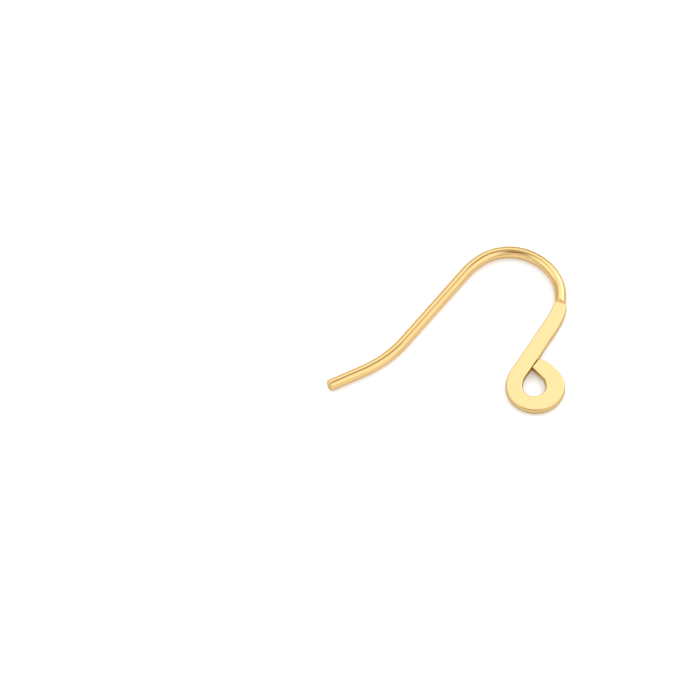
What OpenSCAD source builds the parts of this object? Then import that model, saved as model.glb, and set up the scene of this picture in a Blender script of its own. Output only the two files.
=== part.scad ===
// Ear wire: one length of round wire, bent into an open hook for the ear.
// Its front end is pressed flat on both sides and coiled in the flat into a teardrop eye.
// It lies on its side, with the round wire on z = 0 and the eye's axis on x = y = 0.
// +Y points from the eye towards the bend, and the tail points to -X. All sizes are in millimetres.

/* [Round wire] */
// Diameter of the wire
wire_d = 0.88; // [0.75:0.01:0.95]
// Size of the small chamfer round the cut tail
tip_chamfer = 0.05; // [0.02:0.01:0.12]

/* [Hook] */
// Radius of the bend just past the neck, at the wire's centre
front_bend_r = 4.02; // [3.5:0.01:5.5]
// Angle of that bend
front_bend_turn = 57.4; // [45:0.1:65]
// Radius over the top of the hook
top_bend_r = 3.51; // [2.5:0.01:4.5]
// Angle over the top
top_bend_turn = 71.4; // [60:0.1:85]
// Radius where the hook runs into the straight shank
back_bend_r = 5.14; // [4:0.01:7]
// Angle of that last part of the hook
back_bend_turn = 16.8; // [10:0.1:25]
// Length of the straight shank, which hangs behind the ear
shank_len = 7.83; // [5:0.01:12]
// Radius of the kick that turns the tail outwards
kick_r = 9.16; // [4:0.01:12]
// Angle of the kick
kick_turn = 26; // [10:0.1:35]
// Straight length of the tail past the kick, up to its cut end
tail_len = 2.8; // [1.5:0.01:6]

/* [Flat strip] */
// Thickness of the pressed metal
strip_t = 0.52; // [0.4:0.01:0.6]
// Width of the strip between neck and eye
strip_w = 1.29; // [1.1:0.01:1.4]
// Straight length of the strip, from beside the eye's centre up to its bend
strip_len = 6.05; // [4.5:0.01:8]
// Direction of the strip, from the X axis
strip_lean = 60; // [40:1:75]
// Radius of the strip's bend below the neck, at its middle
neck_bend_r = 3.19; // [2.5:0.01:5]
// Angle of that bend
neck_bend_turn = 27.8; // [15:0.1:32]
// Length over which the strip widens from the neck on the eye's side
eye_side_flare = 2.6; // [2.1:0.05:3.5]
// Length over which it widens on the other side
far_side_flare = 0.65; // [0.4:0.05:2]
// Length of the slope between the round wire and the flat faces
step_len = 0.25; // [0.15:0.01:0.35]
// Angle by which the edge of the flat faces slants across the wire, lower on the eye's side
step_slant = 10; // [0:1:15]

/* [Eye] */
// Diameter of the round part of the eye
eye_d = 1.66; // [1.5:0.01:1.8]
// Distance from the eye's centre to the strip's inner edge
eye_to_strip = 0.98; // [0.95:0.01:1.1]
// Distance from the eye's centre to the inner edge of the loop's straight end
eye_to_end = 0.96; // [0.93:0.01:1.05]
// Outer diameter of the loop round the eye
loop_d = 4.46; // [4.2:0.01:4.6]
// How far the loop's outer circle lies off the eye's centre, away from the strip
loop_shift = 0.09; // [0.05:0.005:0.2]
// Angle over which the strip runs into the loop
shoulder_turn = 30; // [20:1:40]
// Angle at the teardrop's point, between the strip and the loop's end
point_angle = 70; // [60:0.5:80]
// Straight stretch of the loop's outer edge before its end
end_straight = 0.44; // [0.1:0.01:0.6]
// Gap between the loop's end and the strip, at the teardrop's point
gap_in = 0.05; // [0.03:0.01:0.1]
// The same gap at the loop's outer edge
gap_out = 0.12; // [0.08:0.01:0.2]

/* [Hidden] */
$fn = 96;

wire_r = wire_d / 2;
eye_r = eye_d / 2;
loop_r = loop_d / 2;
// Steps along each edge of the flared neck
flare_steps = 28;
// The strip starts this much wider than the wire on either side
neck_edge = 0.02;
// How far two lengths of metal run into each other where they join
lap = 0.05;
// Curves that would only just touch are pushed this far across each other
bite = 0.005;
// Bent lengths are this much thicker than straight ones, so that each straight end sits inside its neighbour
swell = 0.002;
// Short straight length on either side of the top bend
link_len = 0.1;
// Straight wire between the neck and the first bend
neck_len = 0.6;
// How far along the wire the slanted edge reaches from its middle
slant_reach = wire_r * tan(step_slant);
// Height of the wire's middle, with its thicker bent lengths on z = 0
mid_z = wire_r + swell;
// Far enough out to clear every outline
reach = 2 * loop_d;

// The flat shapes are drawn in the strip's own directions: x along it towards the neck, y away from the eye.
strip_mid_y = eye_to_strip + strip_w / 2;
strip_outer_y = eye_to_strip + strip_w;
bend_path = neck_bend_r * neck_bend_turn * PI / 180;
bend_centre = [strip_len, strip_mid_y + neck_bend_r];
straight_path = eye_side_flare - bend_path;

// The middle of the wire's start
neck_at = bend_centre + neck_bend_r * [sin(neck_bend_turn), -cos(neck_bend_turn)];

// The outer circle is off centre in this direction, which makes the band wider beside its end.
shift_angle = -45;
loop_centre = loop_shift * along(shift_angle);

// The strip meets both circles at this angle, on arcs that turn through the shoulder's angle.
shoulder_angle = 90 + shoulder_turn;

// The loop's end runs straight in this direction, with its outer side facing end_side.
end_side = point_angle - 90;
end_centre = loop_centre + end_straight * along(point_angle);
point_x = (eye_to_end - eye_to_strip * sin(end_side)) / cos(end_side);
// The eye's round wall turns into the straight end over this angle.
end_turn = 32;

// Unit vector in a direction
function along(a) = [cos(a), sin(a)];

// Smooth rise from 0 to 1
function ease(t) = t >= 1 ? 1 : t * t * (3 - 2 * t);

// Half width of the strip at a distance from the neck
function half_width(from_neck, flare) =
    wire_r + neck_edge + (strip_w / 2 - wire_r - neck_edge) * ease(max(0, from_neck) / flare);

// A point at a side distance from the strip's middle line, side > 0 being the eye's side
function beside(from_neck, side) =
    from_neck < 0
    ? neck_at + side * [sin(neck_bend_turn), -cos(neck_bend_turn)] - from_neck * along(neck_bend_turn)
    : from_neck < bend_path
    ? let (a = neck_bend_turn * (1 - from_neck / bend_path))
        bend_centre + (neck_bend_r + side) * [sin(a), -cos(a)]
    : [strip_len - (from_neck - bend_path), strip_mid_y - side];

// Evenly spaced distances from the neck, down into the straight strip
function flare_distances(first) =
    [for (i = [0 : flare_steps]) first + (eye_side_flare + lap - first) * i / flare_steps];

// The top of the strip, which narrows to the wire's own width at the slanted edge
module neck_outline() {
    eye_side = [for (d = flare_distances(slant_reach)) beside(d, half_width(d, eye_side_flare))];
    far_side = [for (d = flare_distances(-slant_reach)) beside(d, -half_width(d, far_side_flare))];
    polygon(concat(eye_side, [for (i = [flare_steps : -1 : 0]) far_side[i]]));
}

// Radius of an arc between a circle on centre and an edge along x
function shoulder_r(centre, r, edge_y) =
    (edge_y + bite - centre.y - (r - bite) * sin(shoulder_angle)) / (1 - sin(shoulder_angle));

// Centre of that arc
function shoulder_centre(centre, r, edge_y) =
    centre + (r - bite - shoulder_r(centre, r, edge_y)) * along(shoulder_angle);

// The space inside that arc, between the circle and the edge
module shoulder(centre, r, edge_y) {
    at = shoulder_centre(centre, r, edge_y);
    intersection() {
        translate(at) circle(shoulder_r(centre, r, edge_y));
        polygon([[0, 0], [at.x, 0], [at.x, edge_y], [edge_y / tan(shoulder_angle), edge_y]]);
    }
}

// The straight strip, from the shoulder up into the flared neck
module strip_outline() {
    start = shoulder_centre(loop_centre, loop_r, strip_outer_y).x - lap;
    translate([start, eye_to_strip]) square([strip_len - straight_path - start, strip_w]);
}

// The loop's end, which runs straight on before it curves to its cut face
module end_outline() {
    intersection() {
        union() {
            translate(end_centre) circle(loop_r);
            polygon([
                loop_centre,
                loop_centre + loop_r * along(end_side),
                end_centre + loop_r * along(end_side),
                end_centre
            ]);
        }
        polygon([
            [0, 0],
            reach * along(end_side),
            [reach, eye_to_strip],
            [0, eye_to_strip]
        ]);
    }
}

// The teardrop opening
module eye_opening() {
    circle(eye_r);
    shoulder([0, 0], eye_r, eye_to_strip);
    polygon([
        [0, 0],
        (eye_r - bite) * along(end_side - end_turn),
        eye_to_end * along(end_side),
        [point_x, eye_to_strip],
        [shoulder_centre([0, 0], eye_r, eye_to_strip).x - lap, eye_to_strip]
    ]);
}

// The gap between the loop's end and the strip, wider at its outer end
module closing_gap() {
    polygon([
        [point_x - strip_w / 2, eye_to_strip],
        [point_x, eye_to_strip - gap_in],
        [loop_d, eye_to_strip - gap_out],
        [loop_d, eye_to_strip]
    ]);
}

// Everything that is pressed flat, as one outline
module flat_outline() {
    difference() {
        union() {
            translate(loop_centre) circle(loop_r);
            shoulder(loop_centre, loop_r, strip_outer_y);
            end_outline();
            strip_outline();
        }
        eye_opening();
        closing_gap();
    }
    neck_outline();
}

// A straight length of wire along x, which runs into its neighbours by the lap
module straight_wire(len, lap_before = lap, lap_after = lap) {
    translate([-lap_before, 0, 0]) rotate([0, 90, 0])
        cylinder(h = lap_before + len + lap_after, r = wire_r);
}

// A bent length of wire that starts along x and turns to the left
module bent_wire(r, turn) {
    translate([0, r, 0]) rotate([0, 0, -90])
        rotate_extrude(angle = turn) translate([r, 0]) circle(wire_r + swell);
}

// Carries on from the end of a bend to the left
module past_bend(r, turn) {
    translate([r * sin(turn), r * (1 - cos(turn)), 0]) rotate([0, 0, turn]) children();
}

// Carries on from the end of a straight length
module past_straight(len) {
    translate([len, 0, 0]) children();
}

// Half the height of the slope at the start of the wire, at a distance from its foot
function slope_height(x) = strip_t / 2 + (wire_r - strip_t / 2) * x / step_len;

// The start of the wire, where its top and bottom come down on a slanted slope to the strip's faces
module neck() {
    before = -lap;
    after = neck_len + 2 * lap;
    intersection() {
        straight_wire(neck_len, lap_before = slant_reach + lap);
        rotate([0, 0, -step_slant]) rotate([90, 0, 0]) linear_extrude(2 * wire_d, center = true) polygon([
            [before, -slope_height(before)],
            [after, -slope_height(after)],
            [after, slope_height(after)],
            [before, slope_height(before)]
        ]);
    }
}

// The straight tail with its chamfered cut end
module tail() {
    straight_wire(tail_len - tip_chamfer, lap_after = 0);
    translate([tail_len - tip_chamfer, 0, 0]) rotate([0, 90, 0])
        cylinder(h = tip_chamfer, r1 = wire_r, r2 = wire_r - tip_chamfer);
}

// The hook, from the end of the neck to the straight shank and what follows it
module hook() {
    bent_wire(front_bend_r, front_bend_turn);
    past_bend(front_bend_r, front_bend_turn) {
        straight_wire(link_len);
        past_straight(link_len) {
            bent_wire(top_bend_r, top_bend_turn);
            past_bend(top_bend_r, top_bend_turn) {
                straight_wire(link_len);
                past_straight(link_len) {
                    bent_wire(back_bend_r, back_bend_turn);
                    past_bend(back_bend_r, back_bend_turn) shank();
                }
            }
        }
    }
}

// The straight shank, the kick to the other side and the tail
module shank() {
    straight_wire(shank_len);
    past_straight(shank_len) mirror([0, 1, 0]) {
        bent_wire(kick_r, kick_turn);
        past_bend(kick_r, kick_turn) tail();
    }
}

// The whole ear wire, with its flat shapes turned to their place
module ear_wire() {
    color([1, 0.85, 0.5]) translate([0, 0, mid_z]) rotate([0, 0, strip_lean]) {
        translate([0, 0, -strip_t / 2]) linear_extrude(strip_t) flat_outline();
        translate([neck_at.x, neck_at.y, 0]) rotate([0, 0, neck_bend_turn]) {
            neck();
            past_straight(neck_len) hook();
        }
    }
}

ear_wire();
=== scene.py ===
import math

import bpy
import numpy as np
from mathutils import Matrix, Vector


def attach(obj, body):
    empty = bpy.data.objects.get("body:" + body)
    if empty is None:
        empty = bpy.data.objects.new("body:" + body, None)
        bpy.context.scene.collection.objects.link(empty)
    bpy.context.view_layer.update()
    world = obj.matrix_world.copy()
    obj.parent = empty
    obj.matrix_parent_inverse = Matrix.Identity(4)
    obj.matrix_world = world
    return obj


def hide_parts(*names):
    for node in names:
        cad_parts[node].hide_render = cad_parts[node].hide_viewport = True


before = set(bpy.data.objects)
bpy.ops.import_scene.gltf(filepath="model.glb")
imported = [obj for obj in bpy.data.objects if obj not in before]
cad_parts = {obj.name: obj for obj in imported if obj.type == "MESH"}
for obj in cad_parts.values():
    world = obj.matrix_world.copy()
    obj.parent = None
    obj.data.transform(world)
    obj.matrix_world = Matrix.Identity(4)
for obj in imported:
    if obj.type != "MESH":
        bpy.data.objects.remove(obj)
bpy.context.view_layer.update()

# Looks of the ear wire: one length of gold-plated wire, pressed flat at its front and coiled into a teardrop
# eye. It is a single closed mesh that follows the same lines as the solid. Lengths are in millimetres until
# the mesh is made. Points in plan are in the strip's own directions: the eye's centre is the origin, x runs
# along the straight strip away from the eye, and the strip lies on the side of positive y. The inner edge is
# the one on the eye's side, the outer edge the one on the far side.

MM = 0.001

# Sizes that repeat the solid's, but the radii of the wire and the loop are 0.003 and 0.002 smaller
WIRE_R = 0.437
MID_Z = 0.442
HALF_T = 0.26
STRIP_LEAN = 60
STRIP_HALF_W = 0.645
STRIP_LEN = 6.05
NECK_BEND_R = 3.19
NECK_BEND_TURN = 27.8
EYE_SIDE_FLARE = 2.6
EYE_R = 0.83
EYE_TO_STRIP = 0.98
EYE_TO_END = 0.96
STRIP_MID_Y = EYE_TO_STRIP + STRIP_HALF_W
LOOP_R = 2.228
LOOP_SHIFT = 0.09
SHIFT_ANGLE = -45
SHOULDER_TURN = 30
POINT_ANGLE = 70
END_STRAIGHT = 0.44
END_TURN = 32
NECK_LEN = 0.6
LINK_LEN = 0.1
SHANK_LEN = 7.83
TAIL_LEN = 2.8


def bend(radius, turn):
    """A bend as a run of the path: its length, and its turn in degrees, left positive."""
    return radius * math.radians(abs(turn)), turn


# The wire past the neck, as runs of (length, turn)
WIRE_RUNS = [
    (NECK_LEN, 0),
    bend(4.02, 57.4),
    (LINK_LEN, 0),
    bend(3.51, 71.4),
    (LINK_LEN, 0),
    bend(5.14, 16.8),
    (SHANK_LEN, 0),
    bend(9.16, -26),
    (TAIL_LEN, 0),
]

# Finer forms that only the looks have

# Below the neck the strip's inner side widens by this share over this length, and by the rest over its flare
EYE_SIDE_START = 0.26
EYE_SIDE_START_LEN = 0.35
# Its outer side widens over this length, fast at first
FAR_SIDE_FADE = 1.1
# Slant in degrees of the edge of the flat faces, across the wire
STEP_SLANT = 17
# How far the rounded side walls stand out past the flat faces, along the strip and in the slit
RIM_BULGE = 0.12
SLIT_BULGE = 0.05
# Width of the gap at the loop's end, at its inner and its outer edge
GAP_IN = 0.03
GAP_OUT = 0.17
# Rounding of the end's outer corner in plan, and how far along the loop it fades out
END_CORNER_R = 0.12
CORNER_FADE = 0.6
# Rounding of the edges of the two cut faces, and the heights of their low domes
END_EDGE_R = 0.025
TAIL_EDGE_R = 0.06
END_DOME = 0.004
TAIL_DOME = 0.008
# The slope from the flat faces up to the round wire: its length, and the width of the average that rounds its
# foot and its top
SLOPE_LEN = 0.17
SLOPE_SOFT = 0.012
# Rounding of the crease between the slope and the wire's round sides
CREASE_R = 0.02

# Where the forms change, as places along the middle line: 0 at the neck, negative towards the eye
WIDENING_FROM = -3
EDGES_SOFT_FROM = -1.6
EDGES_SOFT_FULL = -2.6
NECK_RIM_FROM = -1.5
NECK_FROM = -0.2
ROUND_FROM = -0.16
ROUND_FULL = -0.03
# Where the painted shade on the side walls reaches full strength
SIDE_PAINTED_SHADE_FULL = -0.25
# Stretches over which the slant of the cut fades in and out again
SLANT_IN = (-1.1, -0.35)
SLANT_OUT = (1.4, 0.45)
# Stretches over which the slit's flatter walls fade in and out again, as distances from the teardrop's point
SLIT_IN = (-1.3, -0.1)
SLIT_OUT = (2.5, 0.9)

# The x where the edges of the loop end and those of the straight strip take over
JOIN_X = 1.3
# Width of the average that softens the edges round the eye, and how many such widths it reaches
SOFTEN = 0.06
SOFTEN_REACH = 4
# How far the table of edges goes on past both ends
TABLE_SPARE = 0.2

# How finely the lines are worked out
PATH_STEP = 0.01
TABLE_STEP = 0.01
SLOPE_SAMPLES = 25
END_POINTS = 160
END_ARC_POINTS = 200
ROUND_POINTS = 600
SHOULDER_POINTS = 150
LAST_POINTS = 60


def along(degrees):
    a = np.radians(degrees)
    return np.stack([np.cos(a), np.sin(a)], -1)


def ease(t):
    t = np.clip(t, 0, 1)
    return t * t * (3 - 2 * t)


def ramp(x, start, end):
    """Eased 0 to 1 as x goes from start to end, in either direction."""
    return ease((np.asarray(x, float) - start) / (end - start))


def distances(points):
    """How far along the line each of its points lies."""
    return np.concatenate([[0], np.cumsum(np.linalg.norm(np.diff(points, axis=0), axis=1))])


# The middle line of the straight strip, the neck's bend and the whole wire


def runs_path(start, heading, runs):
    """Points, headings and distances along straight and curved runs, about evenly spaced."""
    points, headings, lengths = [np.array(start, float)], [heading], [0.0]
    for length, turn in runs:
        n = max(2, round(length / PATH_STEP))
        d = length / n
        half_turn = math.radians(abs(turn) / n / 2)
        chord = d if turn == 0 else d * math.sin(half_turn) / half_turn
        for _ in range(n):
            half = headings[-1] + turn / n / 2
            points.append(points[-1] + chord * along(half))
            headings.append(headings[-1] + turn / n)
            lengths.append(lengths[-1] + d)
    return np.array(points), np.array(headings), np.array(lengths)


neck_bend = bend(NECK_BEND_R, NECK_BEND_TURN)
strip_runs = [(STRIP_LEN - JOIN_X, 0), neck_bend]
line, line_heading, line_s = runs_path((JOIN_X, STRIP_MID_Y), 0, strip_runs + WIRE_RUNS)
line_s = line_s - (STRIP_LEN - JOIN_X + neck_bend[0])
tail_s = line_s[-1]


def half_widths(s):
    """Half widths on the inner side and on the outer, at a place along the middle line."""
    below = np.maximum(0, -s)
    start = EYE_SIDE_START * ease(below / EYE_SIDE_START_LEN)
    eye_share = start + (1 - EYE_SIDE_START) * ease(below / EYE_SIDE_FLARE)
    far_share = 1 - (1 - np.minimum(1, below / FAR_SIDE_FADE)) ** 2
    rise = STRIP_HALF_W - WIRE_R
    return WIRE_R + rise * eye_share, WIRE_R + rise * far_share


left = along(line_heading + 90)
eye_half, far_half = half_widths(line_s)
line_inner = line - left * eye_half[:, None]
line_outer = line + left * far_half[:, None]

# The loop round the eye, from its cut end to the straight strip, as pairs of inner and outer points


def shoulder(centre, r, edge_y):
    """Radius and centre of the arc between a circle and an edge along x."""
    a = 90 + SHOULDER_TURN
    sine = math.sin(math.radians(a))
    radius = (edge_y - centre[1] - r * sine) / (1 - sine)
    return radius, centre + (r - radius) * along(a)


def arc(centre, r, a0, a1, n):
    return centre + r * along(np.linspace(a0, a1, n))


def joined(*parts):
    """Several runs of points as one, without the doubled points between them."""
    return np.concatenate([parts[0]] + [p[1:] for p in parts[1:]])


def spaced(points, n):
    """The same line with n points, evenly spaced along it."""
    d = distances(points)
    at = np.linspace(0, d[-1], n)
    return np.stack([np.interp(at, d, points[:, i]) for i in range(2)], -1)


origin = np.zeros(2)
loop_centre = LOOP_SHIFT * along(SHIFT_ANGLE)
end_side = POINT_ANGLE - 90
end_centre = loop_centre + END_STRAIGHT * along(POINT_ANGLE)


def end_inner_at(y):
    """The point of the end's straight inner edge at a given y."""
    e = math.radians(end_side)
    return np.array([(EYE_TO_END - y * math.sin(e)) / math.cos(e), y])


# The end, from its cut face on
inner_foot = EYE_TO_END * along(end_side)
outer_start_angle = math.degrees(math.asin((EYE_TO_STRIP - GAP_OUT - end_centre[1]) / LOOP_R))
end_in = spaced(np.array([end_inner_at(EYE_TO_STRIP - GAP_IN), inner_foot]), END_POINTS)
end_out = spaced(
    joined(
        arc(end_centre, LOOP_R, outer_start_angle, end_side, END_ARC_POINTS),
        np.array([end_centre + LOOP_R * along(end_side), loop_centre + LOOP_R * along(end_side)]),
    ),
    END_POINTS,
)

# Round the eye, whose wall starts with a short straight stretch
round_angles = np.linspace(end_side, SHOULDER_TURN + 90 - 360, ROUND_POINTS)
chord_end = EYE_R * along(end_side - END_TURN)
chord_normal = np.array([chord_end[1] - inner_foot[1], inner_foot[0] - chord_end[0]])
chord_normal /= np.linalg.norm(chord_normal)
chord_reach = (inner_foot @ chord_normal) / (along(round_angles) @ chord_normal)
on_chord = round_angles > end_side - END_TURN
round_in = along(round_angles) * np.where(on_chord, chord_reach, EYE_R)[:, None]
round_out = loop_centre + LOOP_R * along(round_angles)

# The shoulder, and the start of the straight strip
inner_arc_r, inner_arc_centre = shoulder(origin, EYE_R, EYE_TO_STRIP)
outer_arc_r, outer_arc_centre = shoulder(loop_centre, LOOP_R, STRIP_MID_Y + STRIP_HALF_W)
shoulder_in = arc(inner_arc_centre, inner_arc_r, 90 + SHOULDER_TURN, 90, SHOULDER_POINTS)
shoulder_out = arc(outer_arc_centre, outer_arc_r, 90 + SHOULDER_TURN, 90, SHOULDER_POINTS)
last_in = spaced(np.array([shoulder_in[-1], line_inner[0]]), LAST_POINTS)
last_out = spaced(np.array([shoulder_out[-1], line_outer[0]]), LAST_POINTS)

loop_inner = joined(end_in, round_in, shoulder_in, last_in)
loop_outer = joined(end_out, round_out, shoulder_out, last_out)
loop_s = distances((loop_inner + loop_outer) / 2)
loop_s = loop_s - loop_s[-1] + line_s[0]
end_s = loop_s[0]

# Where the slit meets the teardrop's point, along the strip
slit_s = line_s[0] - JOIN_X + end_inner_at(EYE_TO_STRIP)[0]

# One table of the inner and the outer edge for the whole length, softened at the corners round the eye
all_s = np.concatenate([loop_s, line_s[1:]])
all_inner = np.concatenate([loop_inner, line_inner[1:]])
all_outer = np.concatenate([loop_outer, line_outer[1:]])
table_s = np.arange(end_s - TABLE_SPARE, tail_s + TABLE_SPARE, TABLE_STEP)


def edge_table(points):
    """The edge at table_s, carried on straight past both ends."""
    columns = []
    for i in range(2):
        v = np.interp(table_s, all_s, points[:, i])
        first = (points[1, i] - points[0, i]) / (all_s[1] - all_s[0])
        last = (points[-1, i] - points[-2, i]) / (all_s[-1] - all_s[-2])
        v = np.where(table_s < all_s[0], points[0, i] + first * (table_s - all_s[0]), v)
        v = np.where(table_s > all_s[-1], points[-1, i] + last * (table_s - all_s[-1]), v)
        columns.append(v)
    return np.stack(columns, -1)


def softened(values):
    """Gaussian average along the table, for the stretch round the eye."""
    reach = round(SOFTEN_REACH * SOFTEN / TABLE_STEP)
    k = np.exp(-0.5 * (np.arange(-reach, reach + 1) * TABLE_STEP / SOFTEN) ** 2)
    k /= k.sum()
    columns = []
    for i in range(2):
        padded = np.concatenate([
            2 * values[0, i] - values[reach:0:-1, i],
            values[:, i],
            2 * values[-1, i] - values[-2:-reach - 2:-1, i],
        ])
        columns.append(np.convolve(padded, k, "valid"))
    share = ramp(table_s, EDGES_SOFT_FROM, EDGES_SOFT_FULL)[:, None]
    return values * (1 - share) + np.stack(columns, -1) * share


table_inner = softened(edge_table(all_inner))
table_outer = softened(edge_table(all_outer))


def edges_at(s):
    """Inner and outer edge points for an array of places."""
    pick = [np.interp(s, table_s, t[:, i]) for t in (table_inner, table_outer) for i in range(2)]
    return np.stack(pick[:2], -1), np.stack(pick[2:], -1)


# Angles round the section in degrees, from the middle of the top face. The flat faces end at the rims.
RIM = 50
UNDER_RIM = 180 - RIM
ANGLE_STEP = 5
BESIDE_RIM = 1.5
on_top = list(range(0, RIM, ANGLE_STEP)) + [RIM - BESIDE_RIM]
on_side = list(range(RIM, UNDER_RIM, ANGLE_STEP))
underneath = [UNDER_RIM, UNDER_RIM + BESIDE_RIM] + list(range(UNDER_RIM + ANGLE_STEP, 181, ANGLE_STEP))
half_round = on_top + on_side + underneath
angles = np.array(half_round + [360 - a for a in reversed(half_round[1:-1])], float)
sines = np.sin(np.radians(angles))
cosines = np.cos(np.radians(angles))
N = len(angles)

# +1 on the inner side of the section, -1 on the outer
hand = np.where(angles <= 180, 1.0, -1.0)
from_top = np.where(angles <= 180, angles, 360 - angles)
on_face = (from_top <= RIM) | (from_top >= UNDER_RIM)
face_sign = np.where(from_top < 90, 1.0, -1.0)
from_face = np.where(from_top <= 90, from_top, 180 - from_top)
# Place on a flat face, 0 at its middle and 1 at its rim, and angle up the rounded side wall
face_u = np.sin(np.radians(np.minimum(from_face, RIM))) / math.sin(math.radians(RIM))
side_angle = np.radians(90 - (from_top - RIM) / (UNDER_RIM - RIM) * 180)

SLANT = math.tan(math.radians(STEP_SLANT))
# Depth of the round wire's own side walls beside the flat faces
NECK_BULGE = WIRE_R - math.sqrt(WIRE_R ** 2 - HALF_T ** 2)


def pressed_section(w_eye, w_far, h, bulge_eye, bulge_far):
    """Sideways and upward places of a flat section with rounded sides. Sideways is + on the outer side."""
    w = np.where(hand > 0, w_eye, w_far)
    b = np.where(hand > 0, bulge_eye, bulge_far)
    face_y = (w - b) * face_u
    side_y = (w - b) + b * np.cos(side_angle)
    y = np.where(on_face, face_y, side_y)
    z = np.where(on_face, h * face_sign, h * np.sin(side_angle))
    return -hand * y, z


def soft_min(a, b, r):
    """The lower of two heights, rounded where they cross."""
    return 0.5 * (a + b - np.sqrt((a - b) ** 2 + r * r))


def slope_share(x):
    """Share of the rise from the flat faces to the round wire, at a distance from the slope's foot."""
    offsets = np.linspace(-1.5, 1.5, SLOPE_SAMPLES)
    weights = np.exp(-2 * offsets ** 2)
    risen = np.clip((x + offsets * SLOPE_SOFT) / SLOPE_LEN, 0, 1)
    return float(risen @ weights / weights.sum())


def round_section(share, r):
    """The round wire, cut off level at a height that rises with share from the flat faces to its own top."""
    z = r * cosines
    level = HALF_T + (r - HALF_T) * share
    low = np.minimum(np.abs(z), soft_min(np.abs(z), level, CREASE_R * max(0.0, 1 - share)))
    return -r * sines, np.sign(z) * np.maximum(0, low)


def end_trim(across):
    """How far the cut end stands back for its rounded outer corner. across is 0 inside and 1 outside."""
    from_outer = 2 * (1 - across) * STRIP_HALF_W
    r = END_CORNER_R
    return np.where(from_outer < r, r - np.sqrt(np.maximum(0, r * r - (r - from_outer) ** 2)), 0)


def ring(s, inset=0.0, forward=0.0):
    """One ring of the mesh, drawn in by inset and moved towards the loop's end by forward: its points, its
    places along, across and up the wire, and its shares of pressed face and of side wall."""
    if s > WIDENING_FROM:
        w_eye, w_far = (float(x) for x in half_widths(np.array(s)))
    else:
        inner, outer = edges_at(np.array([s]))
        w_eye = w_far = np.linalg.norm(outer - inner) / 2
    rim = RIM_BULGE + (NECK_BULGE - RIM_BULGE) * float(ramp(s, NECK_RIM_FROM, 0))
    near_slit = float(ramp(s - slit_s, *SLIT_IN) * ramp(s - slit_s, *SLIT_OUT))
    bulge_eye = rim + (SLIT_BULGE - rim) * near_slit
    y, z = pressed_section(w_eye - inset, w_far - inset, HALF_T - inset, bulge_eye, rim)
    if s > NECK_FROM:
        round_y, round_z = round_section(slope_share(s), WIRE_R - inset)
        share = float(ramp(s, ROUND_FROM, ROUND_FULL))
        y = y * (1 - share) + round_y * share
        z = z * (1 - share) + round_z * share
    across = (y + w_eye) / (w_eye + w_far)
    slant = float(ramp(s, *SLANT_IN) * ramp(s, *SLANT_OUT))
    trim = max(0.0, 1 - (s - end_s) / CORNER_FADE)
    at = s + slant * SLANT * y + trim * end_trim(across) - forward
    e_in, e_out = edges_at(at)
    plan = e_in + (e_out - e_in) * across[:, None]
    # Pressed faces get satin roughness and grain, and a paler colour that is a painted highlight
    face = np.where(on_face & (s <= 0), 1.0, 0.0)
    # The side walls get a darker colour: painted shade
    wall = np.where(~on_face, float(ramp(s, 0, SIDE_PAINTED_SHADE_FULL)), 0.0)
    return np.column_stack([plan, z]), np.column_stack([at, y, z]), face, wall


# Rings along the whole length: where each stretch starts and how many rings it has, with more of them where
# the shape changes quickly
last_s = tail_s - TAIL_EDGE_R - TAIL_DOME
STRETCHES = [
    (end_s, 22),
    (end_s + CORNER_FADE, 230),
    (line_s[0] + 1.5, 60),
    (-1.2, 30),
    (ROUND_FROM, 10),
    (ROUND_FULL, 16),
    (0.03, 26),
    (0.34, 18),
    (1.5, 259),
    (last_s, 1),
]
# Rings round the edge of each cut face, and shares of its size at which rings close it
EDGE_STEPS = 5
CAP_SHARES = (0.8, 0.55, 0.3, 0.1)
# Share of the cut metal's colour on the edge of the loop's end
END_EDGE_TONE = 0.6
# The direction out of the loop's end is taken over this length
OUT_STEP = 0.05


def stations():
    """Places of the rings along the whole length."""
    starts, counts = zip(*STRETCHES)
    runs = zip(starts, starts[1:] + starts[-1:], counts)
    return np.concatenate([np.linspace(start, end, count, endpoint=False) for start, end, count in runs])


def edge_ring(s, r, i, way, tone):
    """Ring i of the rounded edge of a cut face at s, with its share of the cut metal's colour. The rings go
    towards the loop's end where way is 1 and towards the tail's where it is -1."""
    a = math.radians(90 * i / EDGE_STEPS)
    return *ring(s, r * (1 - math.cos(a)), way * r * math.sin(a)), np.full(N, tone)


def cap(edge, outward, dome):
    """Rings that close a cut face, drawn in towards its middle and a little domed."""
    base, local = edge[:2]
    centre, local_centre = base.mean(0), local.mean(0)
    made = []
    for share in CAP_SHARES:
        points = centre + (base - centre) * share
        points[:, :2] += outward * dome * (1 - share * share)
        local_points = local_centre + (local - local_centre) * share
        made.append((points, local_points, np.zeros(N), np.zeros(N), np.ones(N)))
    return made


near_end = edges_at(np.array([end_s, end_s + OUT_STEP]))[0]
end_out_dir = near_end[0] - near_end[1]
end_out_dir /= np.linalg.norm(end_out_dir)
tail_dir = line[-1] - line[-2]
tail_dir /= np.linalg.norm(tail_dir)

rings = [edge_ring(end_s, END_EDGE_R, i, 1, END_EDGE_TONE) for i in range(EDGE_STEPS, 0, -1)]
rings += [(*ring(s), np.zeros(N)) for s in stations()]
rings += [edge_ring(last_s, TAIL_EDGE_R, i, -1, i / EDGE_STEPS) for i in range(1, EDGE_STEPS + 1)]
rings = cap(rings[0], end_out_dir, END_DOME)[::-1] + rings + cap(rings[-1], tail_dir, TAIL_DOME)
flat_verts, strand, pressed, sides, cut = (np.concatenate(values) for values in zip(*rings))

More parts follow.
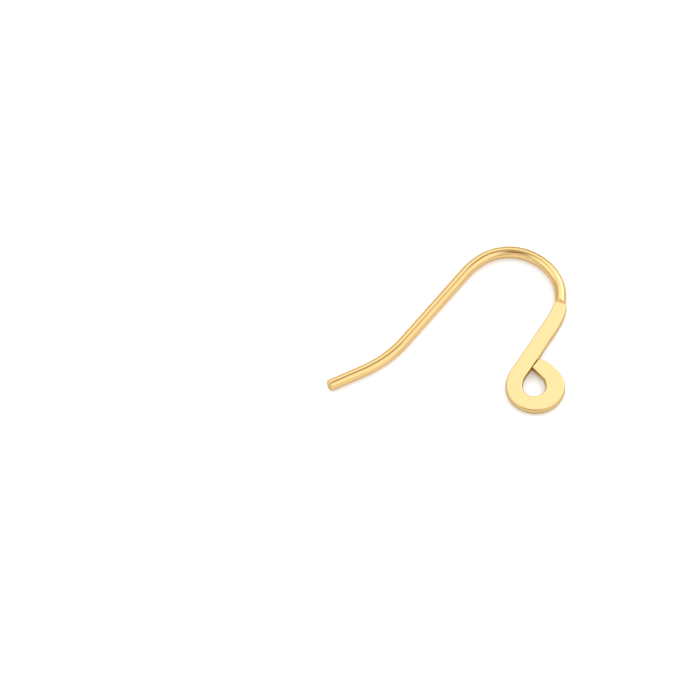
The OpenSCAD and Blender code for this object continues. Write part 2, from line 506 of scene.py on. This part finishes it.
# Into the row frame, in metres
lean = math.radians(STRIP_LEAN)
x = flat_verts[:, 0] * math.cos(lean) - flat_verts[:, 1] * math.sin(lean)
y = flat_verts[:, 0] * math.sin(lean) + flat_verts[:, 1] * math.cos(lean)
points = np.column_stack([x, y, flat_verts[:, 2] + MID_Z]) * MM
count = len(rings)
faces = [
    (i * N + j, i * N + (j + 1) % N, (i + 1) * N + (j + 1) % N, (i + 1) * N + j)
    for i in range(count - 1)
    for j in range(N)
]

# Both ends close on a point in their middle
first_centre = len(points)
points = np.vstack([points, points[:N].mean(0), points[-N:].mean(0)])
faces += [(first_centre, (j + 1) % N, j) for j in range(N)]
faces += [(first_centre + 1, (count - 1) * N + j, (count - 1) * N + (j + 1) % N) for j in range(N)]

mesh = bpy.data.meshes.new("ear_wire_gold")
mesh.from_pydata([tuple(p) for p in points], [], faces)
mesh.update()
mesh.shade_smooth()


def put_values(name, kind, values):
    """A named value for each vertex. The two middle points take those of the first and the last one."""
    attribute = mesh.attributes.new(name, kind, "POINT")
    field = "vector" if kind == "FLOAT_VECTOR" else "value"
    with_centres = np.concatenate([values, values[:1], values[-1:]])
    attribute.data.foreach_set(field, with_centres.astype(np.float32).ravel())


put_values("strand", "FLOAT_VECTOR", strand)
put_values("pressed", "FLOAT", pressed)
put_values("side", "FLOAT", sides)
put_values("cut", "FLOAT", cut)

ear_wire = bpy.data.objects.new("ear_wire_gold", mesh)
bpy.context.scene.collection.objects.link(ear_wire)


class Nodes:
    """Short ways to add and link nodes in one tree."""

    def __init__(self, tree):
        self.tree = tree
        tree.nodes.clear()

    def add(self, kind, inputs=None, **settings):
        node = self.tree.nodes.new(kind)
        for key, value in settings.items():
            setattr(node, key, value)
        for key, value in (inputs or {}).items():
            self.put(node.inputs[key], value)
        return node

    def put(self, socket, value):
        if isinstance(value, bpy.types.NodeSocket):
            self.tree.links.new(value, socket)
        else:
            socket.default_value = value

    def mix(self, share, a, b):
        node = self.add("ShaderNodeMix", data_type="RGBA")
        self.put(node.inputs["Factor"], share)
        self.put(node.inputs[6], a)
        self.put(node.inputs[7], b)
        return node.outputs[2]

    def spread(self, value, low, high, to_low, to_high, interpolation="LINEAR"):
        node = self.add("ShaderNodeMapRange", interpolation_type=interpolation)
        for i, v in enumerate((value, low, high, to_low, to_high)):
            self.put(node.inputs[i], v)
        return node.outputs[0]

    def attribute(self, name, output="Fac"):
        return self.add("ShaderNodeAttribute", attribute_name=name).outputs[output]

    def noise(self, at, **settings):
        return self.add("ShaderNodeTexNoise", {"Vector": at, **settings}).outputs[0]


# Gold plating
WIRE_GOLD = (0.643, 0.435, 0.178, 1)
WIRE_GOLD_LIGHT = (0.66, 0.452, 0.191, 1)
# The pressed faces are painted paler than the wire: a painted highlight for their bright reflection
PRESSED_GOLD_PAINTED_HIGHLIGHT = (0.73, 0.538, 0.243, 1)
PRESSED_GOLD_LIGHT_PAINTED_HIGHLIGHT = (0.745, 0.552, 0.252, 1)
CUT_GOLD = (0.66, 0.48, 0.24, 1)
# Darker gold on the rounded side walls: painted shade
SIDE_GOLD_PAINTED_SHADE = (0.56, 0.39, 0.172, 1)
EDGE_TINT = (0.74, 0.65, 0.5, 1)
WIRE_ROUGHNESS = (0.04, 0.08)
PRESSED_ROUGHNESS = (0.33, 0.42)
CUT_ROUGHNESS = 0.38
# Depths in metres of the drawn lines and the grain, and how strongly the lines show
LINE_DEPTH = 0.0000006
GRAIN_DEPTH = 0.0000008
LINE_STRENGTH = 0.25
# The part of the noise's own range that is used
NOISE_RANGE = (0.3, 0.7)


def gold_plate():
    """Polished wire with fine drawn lines, and pressed faces with a satin grain."""
    material = bpy.data.materials.new("gold_plate")
    material.use_nodes = True
    n = Nodes(material.node_tree)
    strand_place = n.attribute("strand", "Vector")
    is_pressed = n.attribute("pressed")
    is_side_painted_shade = n.attribute("side")
    is_cut = n.attribute("cut")
    metres = n.add("ShaderNodeTexCoord").outputs["Object"]

    # Fine lines along the wire, left by the die it was drawn through
    stretched = n.add("ShaderNodeMapping", {"Vector": strand_place, "Scale": (0.35, 22, 22)}).outputs[0]
    lines = n.noise(stretched, Scale=1.0, Detail=3.0, Roughness=0.6)
    # Satin grain of the pressed faces, and slow changes of tone in the plating
    millimetres = n.add("ShaderNodeMapping", {"Vector": metres, "Scale": (1000, 1000, 1000)}).outputs[0]
    grain = n.noise(millimetres, Scale=14.0, Detail=4.0, Roughness=0.65)
    tone = n.spread(n.noise(millimetres, Scale=0.55, Detail=2.0), *NOISE_RANGE, 0.0, 1.0)

    wire_colour = n.mix(tone, WIRE_GOLD, WIRE_GOLD_LIGHT)
    # Painted highlight: the paler gold of the pressed faces
    pressed_colour_painted_highlight = n.mix(tone, PRESSED_GOLD_PAINTED_HIGHLIGHT, PRESSED_GOLD_LIGHT_PAINTED_HIGHLIGHT)
    colour = n.mix(is_pressed, wire_colour, pressed_colour_painted_highlight)
    # Painted shade on the side walls
    colour = n.mix(is_side_painted_shade, colour, SIDE_GOLD_PAINTED_SHADE)
    colour = n.mix(is_cut, colour, CUT_GOLD)

    wire_rough = n.spread(lines, *NOISE_RANGE, *WIRE_ROUGHNESS)
    pressed_rough = n.spread(grain, *NOISE_RANGE, *PRESSED_ROUGHNESS)
    rough = n.spread(is_pressed, 0.0, 1.0, wire_rough, pressed_rough)
    rough = n.spread(is_cut, 0.0, 1.0, rough, CUT_ROUGHNESS)

    line_bump = n.add(
        "ShaderNodeBump",
        {"Strength": LINE_STRENGTH, "Distance": LINE_DEPTH, "Height": lines},
    ).outputs[0]
    grain_bump = n.add(
        "ShaderNodeBump",
        {"Strength": is_pressed, "Distance": GRAIN_DEPTH, "Height": grain, "Normal": line_bump},
    ).outputs[0]
    shader = n.add(
        "ShaderNodeBsdfPrincipled",
        {
            "Base Color": colour,
            "Metallic": 1.0,
            "Roughness": rough,
            "Specular Tint": EDGE_TINT,
            "Normal": grain_bump,
        },
    )
    n.add("ShaderNodeOutputMaterial", {"Surface": shader.outputs[0]})
    return material


mesh.materials.append(gold_plate())

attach(ear_wire, "root")
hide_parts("ear_wire")

# Plain white floor, which glows a little. Its half width is in metres.
FLOOR_HALF = 2.0
FLOOR_WHITE = (0.93, 0.93, 0.93, 1)
FLOOR_GLOW = 0.14


def white_floor():
    """Matt white with a faint glow of its own."""
    material = bpy.data.materials.new("white_floor")
    material.use_nodes = True
    n = Nodes(material.node_tree)
    paper = n.add("ShaderNodeBsdfDiffuse", {"Color": FLOOR_WHITE})
    glow = n.add("ShaderNodeEmission", {"Color": (1, 1, 1, 1), "Strength": FLOOR_GLOW})
    lit = n.add("ShaderNodeAddShader")
    n.put(lit.inputs[0], paper.outputs[0])
    n.put(lit.inputs[1], glow.outputs[0])
    n.add("ShaderNodeOutputMaterial", {"Surface": lit.outputs[0]})
    return material


floor_mesh = bpy.data.meshes.new("floor")
corners = [(x * FLOOR_HALF, y * FLOOR_HALF, 0) for x, y in ((-1, -1), (1, -1), (1, 1), (-1, 1))]
floor_mesh.from_pydata(corners, [], [(0, 1, 2, 3)])
floor_mesh.materials.append(white_floor())
floor = bpy.data.objects.new("floor", floor_mesh)
bpy.context.scene.collection.objects.link(floor)

# Studio light: a white tent with brighter panels, a small bright lamp and some dimmer patches, each laid over
# those before it. Each is (azimuth from the back, clockwise from above; elevation; full within this angle;
# gone beyond this angle; colour), with angles in degrees.
TENT = (0.99, 0.99, 0.99, 1)
LIGHTS = [
    (88, 49, 36, 46, (0.56, 0.45, 0.35, 1)),
    (-165, 62, 9, 22, (0.42, 0.28, 0.18, 1)),
    (-92, 45, 9, 30, (1.9, 1.98, 2.1, 1)),
    (-17, 47, 10, 28, (1.76, 1.84, 1.96, 1)),
    (-28, 80, 5, 19, (0.86, 0.84, 0.8, 1)),
    (114, 40, 3, 50, (1.72, 1.79, 1.9, 1)),
    (43, 39, 3, 30, (2.7, 2.8, 3.0, 1)),
    (40, 36, 3, 12, (4.3, 4.4, 4.7, 1)),
    (-150, 6, 12, 55, (1.14, 1.14, 1.14, 1)),
    (12, 4, 8, 26, (0.76, 0.74, 0.7, 1)),
]


def studio():
    """The tent with its lights, as the world's background."""
    world = bpy.data.worlds.new("studio")
    world.use_nodes = True
    n = Nodes(world.node_tree)
    direction = n.add("ShaderNodeTexCoord").outputs["Generated"]
    sky = TENT
    for azimuth, elevation, full, gone, tint in LIGHTS:
        a, e = math.radians(azimuth), math.radians(elevation)
        axis = (math.sin(a) * math.cos(e), math.cos(a) * math.cos(e), math.sin(e))
        closeness = n.add("ShaderNodeVectorMath", operation="DOT_PRODUCT")
        n.put(closeness.inputs[0], direction)
        n.put(closeness.inputs[1], axis)
        low, high = math.cos(math.radians(gone)), math.cos(math.radians(full))
        share = n.spread(closeness.outputs["Value"], low, high, 0.0, 1.0, "SMOOTHERSTEP")
        sky = n.mix(share, sky, tint)
    background = n.add("ShaderNodeBackground", {"Color": sky, "Strength": 1.0})
    n.add("ShaderNodeOutputWorld", {"Surface": background.outputs[0]})
    return world


bpy.context.scene.world = studio()
bpy.context.scene.view_settings.view_transform = "Standard"

# Camera at the photo's angle, with a long lens. Places and widths are in metres, the lens in millimetres.
LOOK_AT = Vector((-0.0137005, 0.0037058, 0))
ELEVATION = math.asin(0.83)
VIEW_WIDTH = 0.05224
LENS = 500
SENSOR = 36
camera_data = bpy.data.cameras.new("camera")
camera_data.lens = LENS
camera_data.sensor_width = SENSOR
camera_data.clip_start = 0.05
camera_data.clip_end = 10
camera = bpy.data.objects.new("camera", camera_data)
bpy.context.scene.collection.objects.link(camera)
back = Vector((0, -math.cos(ELEVATION), math.sin(ELEVATION)))
camera.location = LOOK_AT + back * (VIEW_WIDTH * LENS / SENSOR)
camera.rotation_euler = (-back).to_track_quat("-Z", "Y").to_euler()
bpy.context.scene.camera = camera
